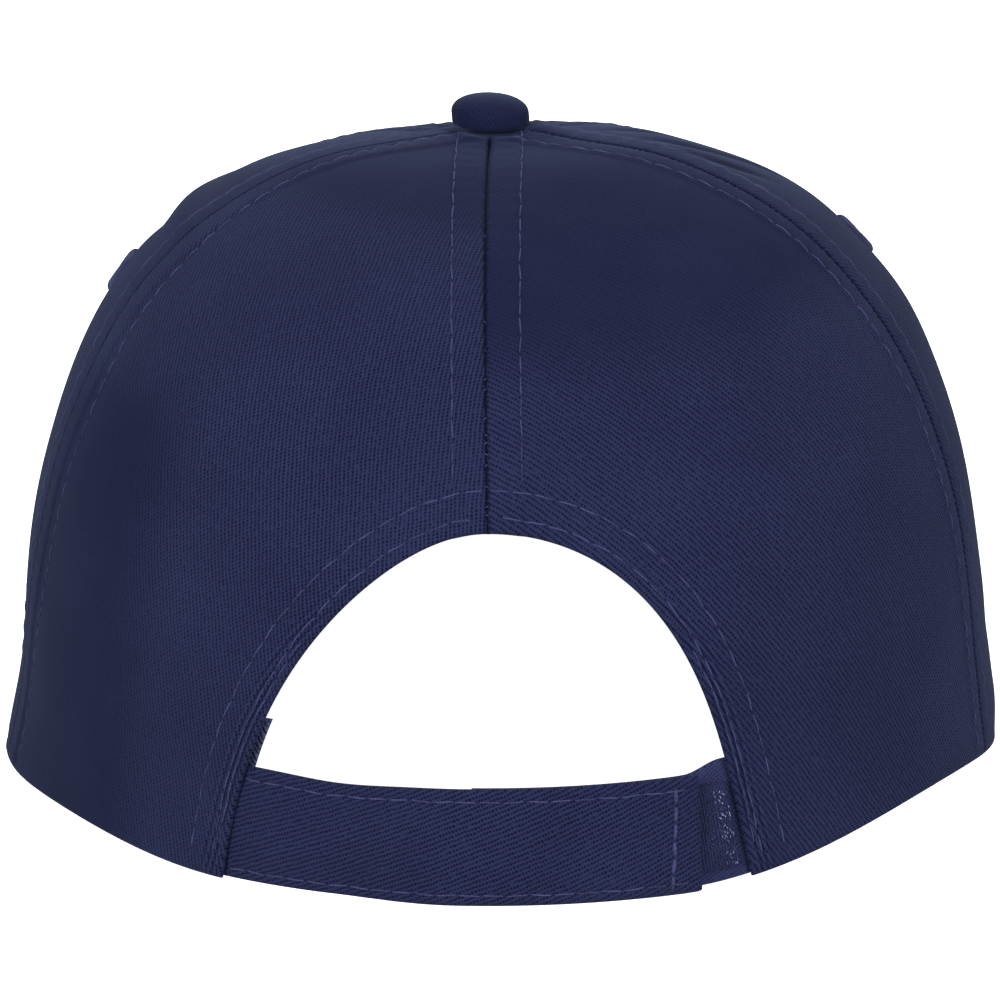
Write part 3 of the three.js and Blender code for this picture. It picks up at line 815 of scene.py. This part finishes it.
# The eyelets
# Each is a ring of thread, sewn over and over through the cloth round its small hole.
EYELET_INNER = 1.5
EYELET_OUTER = 4.5
EYELET_THICKNESS = 0.9
WRAPS = 52
for side, name in ((-1, "left"), (1, "right")):
    azimuth, share = EYELETS[side]
    middle = crown_at(azimuth, share)[0]
    turn, section = np.meshgrid(
        np.linspace(0, 2 * np.pi, 6 * WRAPS, endpoint=False), np.linspace(0, 2 * np.pi, 18, endpoint=False),
        indexing="ij",
    )
    half = (EYELET_OUTER - EYELET_INNER) / 2
    wrap = 0.5 + 0.5 * np.cos(WRAPS * turn + 0.8 * np.sin(3 * turn))
    thread_end = half * (1 + 0.05 * np.sin(11 * turn) + 0.05 * wrap)
    radius = EYELET_INNER + half + thread_end * np.cos(section)
    above = np.where(np.sin(section) > 0, EYELET_THICKNESS, CLOTH + 0.3)
    rise = above * np.sign(np.sin(section)) * np.abs(np.sin(section)) ** 1.1 * (0.86 + 0.14 * wrap)
    at_azimuth = azimuth + np.degrees(radius * np.cos(turn) / np.hypot(middle[0], middle[1]))
    at_share = share + radius * np.sin(turn) / cloth_height(azimuth)
    base, out = crown_at(at_azimuth, at_share)
    points = (base + out * rise[..., None]).reshape(-1, 3)
    count, sides = turn.shape
    ids = np.arange(count * sides).reshape(count, sides)
    ahead, beside = np.roll(ids, -1, axis=0), np.roll(ids, -1, axis=1)
    faces = np.stack([ids, ahead, np.roll(ahead, -1, axis=1), beside], axis=-1).reshape(-1, 4)
    weave = np.stack([section * half * 0.1, turn * WRAPS], axis=-1).reshape(-1, 2)
    make_piece(f"eyelet_{name}_thread", points, faces, thread, [f"eyelet_{name}"], weave)

# The top button
# A domed tin disc in a cover of the same twill, drawn tight under its edge.
BUTTON_RADIUS = 7
BUTTON_DOME = 3.3
BUTTON_SKIRT = 2.5
DOME_SQUARENESS = 2.25
SKIRT_SQUARENESS = 6
BUTTON_TILT = np.radians(2)
BUTTON_RIBS = -52
button_top = button_high.z / MM + 0.3
rounds, steps = 120, 44
around = np.linspace(0, 2 * np.pi, rounds, endpoint=False)
tilt = np.linspace(-np.pi / 2, np.pi / 2, steps)
dome = tilt > 0
power = np.where(dome, 2 / DOME_SQUARENESS, 2 / SKIRT_SQUARENESS)
profile_out = BUTTON_RADIUS * np.abs(np.cos(tilt)) ** power
profile_up = np.where(dome, BUTTON_DOME, BUTTON_SKIRT) * np.sign(tilt) * np.abs(np.sin(tilt)) ** power
pleat = 1 + 0.012 * np.cos(15 * around)[:, None] * np.clip(-profile_up / 2 + 0.2, 0, 1)
out = profile_out * pleat
x = out * np.cos(around)[:, None]
y = out * np.sin(around)[:, None]
z = np.broadcast_to(profile_up, x.shape)
x, z = x * np.cos(BUTTON_TILT) - z * np.sin(BUTTON_TILT), x * np.sin(-BUTTON_TILT) + z * np.cos(BUTTON_TILT)
x = x - TOP_LEANS_LEFT - 0.2
z = z + button_top - BUTTON_DOME
from_top = lengths_along(np.stack([profile_out, profile_up], axis=-1)[::-1])[::-1]
weave = along_ribs(from_top * np.cos(around)[:, None], from_top * np.sin(around)[:, None], BUTTON_RIBS)
ids = np.arange(rounds * steps).reshape(rounds, steps)
ahead = np.roll(ids, -1, axis=0)
faces = np.stack([ids[:, :-1], ahead[:, :-1], ahead[:, 1:], ids[:, 1:]], axis=-1)
faces = faces[:, 1:-1].reshape(-1, 4).tolist()
points = np.stack([x, y, z], axis=-1)
faces.append(ids[::-1, 1].tolist())
faces.append(ids[:, -2].tolist())
smooth = np.ones(rounds * steps)
make_piece(
    "button_cover", points.reshape(-1, 3), faces, twill, ["top_button"], weave.reshape(-1, 2),
    (smooth, 0 * smooth),
)

# The peak
# A stiff board in a cover of twill, sewn along the front hem, with one row of stitches inside its edge.
PEAK_LENGTH = 68
PEAK_THICKNESS = 3
PEAK_END_WIDTH = 3
PEAK_SQUARENESS = 2.25
PEAK_TIP_LIFT = 13
PEAK_ROW = 5.5
PEAK_RIBS = 64
PEAK_EDGE_ROLL = 1.42
PEAK_SWELL = 0.35
end_turn = np.radians(180 - PEAK_SPREAD)
end_x, end_y = np.sin(end_turn) * RIM_WIDTH / 2, -np.cos(end_turn) * RIM_LENGTH / 2


def peak_at(across, forward):
    """The top face of the peak, from its left end (-1) to its right (1), and from its seam outwards."""
    hem = crown_at(180 - across * PEAK_SPREAD, 0 * across)[0]
    turn = np.pi / 2 * across
    power = 2 / PEAK_SQUARENESS
    outer = np.stack([
        (end_x + PEAK_END_WIDTH) * np.sign(turn) * np.abs(np.sin(turn)) ** power,
        end_y + (RIM_LENGTH / 2 + PEAK_LENGTH - end_y) * np.cos(turn) ** power,
        PEAK_TIP_LIFT * np.cos(turn) ** 2,
    ], axis=-1)
    return hem + (outer - hem) * forward[..., None] + [0, 0, PEAK_THICKNESS]


def peak_widths(across):
    """How far the peak reaches from its seam to its edge."""
    return np.linalg.norm(peak_at(across, 0 * across + 1) - peak_at(across, 0 * across), axis=-1)


peak_columns = np.sin(np.pi / 2 * np.linspace(-1, 1, 181))
widths = peak_widths(peak_columns)
edge_nodes = np.array([
    0, 0.04, 0.12, 0.25, 0.42, 0.64, 0.9, 1.2, 1.5, 2, 3, 4.2, 4.8, 5.2, 5.5, 5.8, 6.2, 6.8, 7.6,
])
forward = np.array([
    1 - spread_nodes(edge_nodes * min(1, width / 12), edge_nodes[:6] * min(1, width / 12), width, 40) / width
    for width in widths
])[:, ::-1].T
top = peak_at(np.broadcast_to(peak_columns, forward.shape), forward)
from_edge = (1 - forward) * widths
row_depth = 0.25 * np.exp(-(((from_edge - PEAK_ROW) / 0.7) ** 2)) * np.clip(widths / 12 - 0.5, 0, 1)
turned = rolled(from_edge, PEAK_EDGE_ROLL)
swell = PEAK_SWELL * np.sin(np.pi * np.clip(from_edge / widths, 0, 1)) * np.clip(widths / 30, 0, 1)
bottom = top - [0, 0, PEAK_THICKNESS]
bottom[..., 2] += turned
top[..., 2] += swell - turned - row_depth
points = np.concatenate([top.reshape(-1, 3), bottom.reshape(-1, 3)])
weave = along_ribs(points[:, 0], points[:, 1], PEAK_RIBS)
faces = grid_faces(*forward.shape)[:, ::-1]
make_piece("peak_cover", points, faces, twill, ["peak"], weave)


def peak_top(across, forward):
    point = peak_at(across, forward)
    width = np.interp(across, peak_columns, widths)
    point[..., 2] += PEAK_SWELL * np.sin(np.pi * forward) * np.clip(width / 30, 0, 1) - 0.2
    return point, np.broadcast_to([0.0, 0.0, 1.0], point.shape)


row_across = np.sin(np.pi / 2 * np.linspace(-0.82, 0.82, 600))
sew("peak_stitches", [(row_across, 1 - PEAK_ROW / peak_widths(row_across))], peak_top)

# The sweatband
# A strip of finely ribbed cloth inside the hem. Its ends stand behind the arch's edges.
BAND_WIDTH = 28
BAND_THICKNESS = 1
BAND_ABOVE_HEM = 1
BAND_LEFT_SET_BACK = 0.5
BAND_RIGHT_SET_BACK = 3
BAND_EASE = 14
STRAP_UNDER_PANEL = 7
STRAP_THICKNESS = 1.8
GAP = 0.3
UNDER_PANEL = CLOTH + GAP


def on_cloth(azimuth, height, inset):
    """A point at a height up the cloth and inside its outer face, and the direction outwards."""
    base, out = crown_at(azimuth, height / cloth_height(azimuth))
    point = base - out * np.asarray(inset)[..., None]
    point[..., 2] = np.maximum(point[..., 2], hem_lift(azimuth))
    return point, out


def arch_azimuth(height, side):
    return ARCH_MIDDLE + arch_offset(np.minimum(height / ARCH_HEIGHT, 1), side)


# The sweatband's navy is made several times lighter than the twill's: its own colour with painted light, to
# make up for the shade it lies in under the panels.
band_painted_lighter = twill_finish("band_cloth", (0.014, 0.018, 0.05), (0.085, 0.1, 0.215), 0.95, 0.2, 1.0)
up = spread_nodes(EDGE_NODES[:6], EDGE_NODES[:6], BAND_WIDTH, 24)
height = BAND_ABOVE_HEM + up
right_end = arch_azimuth(height, 1) + hem_angle(BAND_RIGHT_SET_BACK, ARCH_MIDDLE)
left_end = 360 + arch_azimuth(height, -1) - hem_angle(BAND_LEFT_SET_BACK, ARCH_MIDDLE)
band_length = 480
across = spread_nodes(EDGE_NODES[:10], EDGE_NODES[:10], band_length, 330) / band_length
azimuth = right_end[:, None] + (left_end - right_end)[:, None] * across
height = np.broadcast_to(height[:, None], azimuth.shape)
from_end = np.minimum(azimuth - right_end[:, None], left_end[:, None] - azimuth)
ease_from = hem_angle(STRAP_UNDER_PANEL, ARCH_MIDDLE)
inset = UNDER_PANEL + fade(from_end, ease_from, ease_from + BAND_EASE) * (STRAP_THICKNESS + GAP)
from_side = np.minimum(np.minimum(across, 1 - across) * band_length, np.minimum(up, BAND_WIDTH - up)[:, None])
turned = rolled(from_side, 0.45)
ripple = 0.15 * np.sin(azimuth / 5) * np.sin(azimuth / 11 + 1) * (up / BAND_WIDTH)[:, None]
outer = on_cloth(azimuth, height, inset + turned + np.maximum(ripple, 0))[0]
inner = on_cloth(azimuth, height, inset + BAND_THICKNESS - turned + ripple)[0]
points = np.concatenate([outer.reshape(-1, 3), inner.reshape(-1, 3)])
weave = weave_at(azimuth, height / cloth_height(azimuth), 180, 0.7, 50).reshape(-1, 2)
make_piece(
    "sweatband_cloth", points, grid_faces(*azimuth.shape), band_painted_lighter, ["sweatband"],
    np.concatenate([weave, weave]),
)

# The closure
# A long strap of doubled twill comes from the left and is pressed onto the hook tape of a short strap from
# the right. Each strap is sewn under its back panel, and the long one is stitched along both edges and across
# its end.
STRAP_WIDTH = 20.4
CLOSURE_REACH = 41.5
HOOK_STRAP_WIDTH = 19.9
HOOK_STRAP_THICKNESS = 1.5
HOOK_STRAP_ABOVE_HEM = 0.2
HOOK_STRAP_WIDENS = 1.5
CLOSURE_NARROWS = 0.75
HOOK_STRAP_REACH = 4
HOOK_TAPE_WIDTH = 15.2
HOOK_TAPE_THICKNESS = 0.8
HOOK_TAPE_MARGIN = 2.5
HOOK_TAPE_CLEARANCE = 1.5
CLOSURE_LIFT_SPREAD = 26
PER_MM = hem_angle(1, ARCH_MIDDLE)
left_foot = arch_azimuth(0, -1) - STRAP_UNDER_PANEL * PER_MM
right_foot = arch_azimuth(0, 1) + STRAP_UNDER_PANEL * PER_MM
hook_end = ARCH_MIDDLE - HOOK_STRAP_REACH * PER_MM
closure_end = ARCH_MIDDLE + CLOSURE_REACH * PER_MM
TAPE_INSET = UNDER_PANEL - GAP - HOOK_TAPE_THICKNESS
OVER_HOOKS = TAPE_INSET - GAP - STRAP_THICKNESS


class Strap:
    """A strap across the arch. Its places are a distance from its free end and a height up its width."""

    def __init__(self, name, end, way, length, bottom, width, thickness, inset_at, corners, rows, rib_slope,
                 material, slot, nodes, swell, longer_below=0, leaning_end=0, top_line=None):
        self.end, self.way, self.bottom, self.width = end, way, bottom, width
        self.leaning_end, self.top_line = leaning_end, top_line
        self.length, self.longer_below = length, longer_below
        self.inset_at, self.corners, self.swell = inset_at, corners, swell
        self.roll = thickness / 2 - 0.04
        self.row_lines = [self.smooth(*row)[0] for row in rows]
        across = spread_nodes(EDGE_NODES, EDGE_NODES[:4], length, int(length / 0.8))
        up = spread_nodes(EDGE_NODES[:16], EDGE_NODES[:16], width, int(width - 9) * 2)
        across, up = np.meshgrid(across, up)
        base, out, azimuth = self.smooth(across, up)
        flat = base.reshape(-1, 3)
        raised, painted_shading = self.raised(across, up, flat)
        raised = raised.reshape(across.shape)
        turned = rolled(self.from_side(across, up), self.roll)
        outer = base + out * (raised - turned)[..., None]
        inner = base + out * (turned - thickness)[..., None]
        lowest = hem_lift(azimuth)
        for face in (outer, inner):
            face[..., 2] = np.maximum(face[..., 2], lowest)
        weave = along_ribs(across * -way, up, rib_slope).reshape(-1, 2)
        faces = grid_faces(*across.shape)[:, ::-way]
        # The outer face carries the painted shade along the stitch rows; the strap has no wear.
        make_piece(
            name, np.concatenate([outer.reshape(-1, 3), inner.reshape(-1, 3)]), faces,
            material, nodes, np.concatenate([weave, weave]),
            (np.zeros(2 * painted_shading.size), np.append(painted_shading, 0 * painted_shading)),
        )

    def span(self, across):
        """Where the width starts and ends, beside the rounded corners of the free end."""
        low, high = self.corners
        top = self.width + (self.top_line(across) if self.top_line else 0)
        return rolled(across, low), top - rolled(across, high)

    def smooth(self, across, up):
        low, high = self.span(across)
        height = self.bottom + low + up / self.width * (high - low)
        leaning = 1 + self.longer_below / self.length * (1 - up / self.width)
        away = across * leaning + self.leaning_end * (1 - up / self.width)
        azimuth = self.end - self.way * away * PER_MM
        base, out = crown_at(azimuth, height / cloth_height(azimuth))
        return base - out * self.inset_at(azimuth)[..., None], out, azimuth

    def from_side(self, across, up):
        low, high = self.span(across)
        stretch = (high - low) / self.width
        return np.minimum(np.minimum(across, up * stretch), (self.width - up) * stretch)

    def raised(self, across, up, flat):
        out, painted_shading = relief(flat, [], [], self.row_lines)
        edge = self.from_side(across, up).ravel()
        return out + self.swell * (1 - fade(edge, 2, 7)) + 0.1 * (1 - fade(edge, 0.3, 1.2)), painted_shading

    def surface(self, across, up):
        base, out, azimuth = self.smooth(across, up)
        raised = self.raised(across, up, base.reshape(-1, 3))[0].reshape(across.shape)
        return base + out * raised[..., None], out


def closure_inset(azimuth):
    lifted = hook_end - HOOK_TAPE_CLEARANCE * PER_MM
    flat = lifted - CLOSURE_LIFT_SPREAD * PER_MM
    return OVER_HOOKS + (UNDER_PANEL - OVER_HOOKS) * fade(azimuth, flat, lifted)


closure_length = (closure_end - left_foot) / PER_MM
reach = np.linspace(2.6, closure_length, 500)
rise = np.linspace(0.6, STRAP_WIDTH - 0.6, 100)
closure_rows = [
    (reach, 0 * reach + STRAP_WIDTH - 2.2),
    (reach, 0 * reach + 1.9),
]
end_row = [(6.3 - 1.5 * rise / STRAP_WIDTH, rise)]
closure = Strap(
    "closure_strap_cloth", closure_end, 1, closure_length, 0, STRAP_WIDTH, STRAP_THICKNESS, closure_inset,
    (0.6, 0.6), closure_rows + end_row, 20, twill, "twill", ["closure_strap"], 0.2, 0, 0.45,
    lambda across: -CLOSURE_NARROWS * np.exp(-(((across - 72) / 12) ** 2)),
)
sew("closure_stitches", closure_rows, closure.surface)
sew("closure_end_stitches", end_row, closure.surface, 0.72, 3.05, 0.3)

hook_length = (right_foot - hook_end) / PER_MM
# The short strap's navy is lighter than the twill's: its own colour with painted light, to make up for the
# shade it lies in under the panel.
hook_strap_painted_lighter = twill_finish("hook_strap_cloth", (0.006, 0.0075, 0.027), (0.03, 0.036, 0.1), 0.62, 0.14, 0.5)
Strap(
    "hook_strap_cloth", hook_end, -1, hook_length, HOOK_STRAP_ABOVE_HEM, HOOK_STRAP_WIDTH,
    HOOK_STRAP_THICKNESS, lambda azimuth: UNDER_PANEL + 0 * azimuth, (0.5, 0.5), [], 20, hook_strap_painted_lighter, "twill",
    ["hook_strap"], 0, top_line=lambda across: HOOK_STRAP_WIDENS * (1 - fade(across, 44, 52)),
)

tape_bottom = HOOK_STRAP_ABOVE_HEM + HOOK_TAPE_MARGIN
tape_left = hook_end + HOOK_TAPE_CLEARANCE * PER_MM
tape_right = arch_azimuth(tape_bottom + HOOK_TAPE_WIDTH, 1) - HOOK_TAPE_CLEARANCE * PER_MM
tape_cloth = twill_finish("hook_tape", (0.003, 0.004, 0.018), (0.022, 0.027, 0.075), 0.62, 0.14, 0.5)
hook_tape = Strap(
    "hook_tape_weave", tape_left, -1, (tape_right - tape_left) / PER_MM, tape_bottom, HOOK_TAPE_WIDTH,
    HOOK_TAPE_THICKNESS, lambda azimuth: TAPE_INSET + 0 * azimuth, (0.3, 0.3), [], 90, tape_cloth,
    "hook_tape", ["hook_patch"], 0, 2.6,
)

# The hooks stand up where the long strap leaves the tape bare, pale ones beside the panel
chance = np.random.default_rng(5)
bare_start = (closure_end - tape_left) / PER_MM + 0.3
bare_end = (tape_right - tape_left) / PER_MM - 0.2


def hook_rows(start, share_of_hooks):
    rows = []
    for across in np.arange(start, bare_end, 0.4):
        for low in np.arange(0.3, HOOK_TAPE_WIDTH - 0.9, 0.5):
            if chance.random() < share_of_hooks:
                lean, aside, up = chance.standard_normal(3)
                rise = np.linspace(low, low + 0.6, 5)
                rows.append((across + 0.12 * aside + 0.5 * lean * (rise - low), rise + 0.12 * up))
    return rows


low_yarn = thread_finish("low_hook_yarn", (0.01, 0.013, 0.04), (0.065, 0.077, 0.18))
pale_yarn = thread_finish("pale_hook_yarn", (0.06, 0.075, 0.16), (0.33, 0.39, 0.65))
low_hooks = hook_rows(bare_start, 0.45)
sew("hook_tape_low_hooks", low_hooks, hook_tape.surface, 0.11, 0.55, 0.3, low_yarn)
pale_hooks = hook_rows(bare_end - 2.8, 0.18)
sew("hook_tape_pale_hooks", pale_hooks, hook_tape.surface, 0.12, 0.55, 0.5, pale_yarn)

# The camera
# It looks at the back of the cap from a little above it, from far enough that the cap shows almost without
# perspective.
LOOK_AT = np.array([1.58, -66.21, 60.0])
DISTANCE = 1500
ELEVATION = np.radians(14.88)
AZIMUTH = np.radians(1.3)
ROLL = np.radians(0.8)
SENSOR_WIDTH = 36
FOCAL_PIXELS = 8430
PICTURE_PIXELS = 1000
forward = np.array([
    np.sin(AZIMUTH) * np.cos(ELEVATION), np.cos(AZIMUTH) * np.cos(ELEVATION), -np.sin(ELEVATION),
])
level_right = unit(np.cross(forward, [0, 0, 1]))
level_up = np.cross(level_right, forward)
right = level_right * np.cos(ROLL) - level_up * np.sin(ROLL)
up = level_right * np.sin(ROLL) + level_up * np.cos(ROLL)
lens = bpy.data.cameras.new("camera")
lens.sensor_width = SENSOR_WIDTH
lens.lens = FOCAL_PIXELS / PICTURE_PIXELS * SENSOR_WIDTH
lens.shift_x = -0.007
lens.shift_y = -0.0316
lens.clip_start = 0.05
lens.clip_end = 50
camera = bpy.data.objects.new("camera", lens)
bpy.context.scene.collection.objects.link(camera)
matrix = np.eye(4)
matrix[:3, 0], matrix[:3, 1], matrix[:3, 2] = right, up, -forward
matrix[:3, 3] = (LOOK_AT - forward * DISTANCE) * MM
camera.matrix_world = Matrix(matrix.tolist())
bpy.context.scene.camera = camera

# The floor and the lights
# A plain pale floor that throws no colour onto the cloth, and soft lamps behind and in front of the cap.
# Places and sizes here are metres.
floor_mesh = bpy.data.meshes.new("floor")
floor_mesh.from_pydata([(-8, -8, 0), (8, -8, 0), (8, 8, 0), (-8, 8, 0)], [], [(0, 1, 2, 3)])
floor = bpy.data.objects.new("floor", floor_mesh)
floor_finish = Finish("floor", 0.9, 0.1, 0, (1, 1, 1))
floor_finish.shader.inputs["Base Color"].default_value = (0.9, 0.9, 0.9, 1)
floor_finish.shader.inputs["Emission Color"].default_value = (1, 1, 1, 1)
floor_finish.shader.inputs["Emission Strength"].default_value = 1
floor_mesh.materials.append(floor_finish.material)
bpy.context.scene.collection.objects.link(floor)
floor.visible_diffuse = False
floor.visible_glossy = False


def soft_light(name, place, target, size, power):
    light = bpy.data.lights.new(name, "AREA")
    light.shape = "SQUARE"
    light.size = size
    light.energy = power
    lamp = bpy.data.objects.new(name, light)
    bpy.context.scene.collection.objects.link(lamp)
    away = unit(np.array(place, float) - np.array(target, float))
    side_way = unit(np.cross([0, 0, 1], away))
    turned = np.eye(4)
    turned[:3, 0], turned[:3, 1], turned[:3, 2] = side_way, np.cross(away, side_way), away
    turned[:3, 3] = place
    lamp.matrix_world = Matrix(turned.tolist())


soft_light("light_behind_left", (-1.1, -1.5, 0.9), (0, 0, 0.05), 0.9, 34)
soft_light("light_behind_right", (1.2, -1.4, 0.7), (0, 0, 0.05), 0.9, 23)
soft_light("light_front", (0.2, 1.5, 1.4), (0, 0, 0.05), 1.2, 9)
world = bpy.data.worlds.new("studio")
world.use_nodes = True
world.node_tree.nodes["Background"].inputs["Color"].default_value = (1, 1, 1, 1)
world.node_tree.nodes["Background"].inputs["Strength"].default_value = 0.5
bpy.context.scene.world = world
bpy.context.scene.view_settings.view_transform = "Standard"
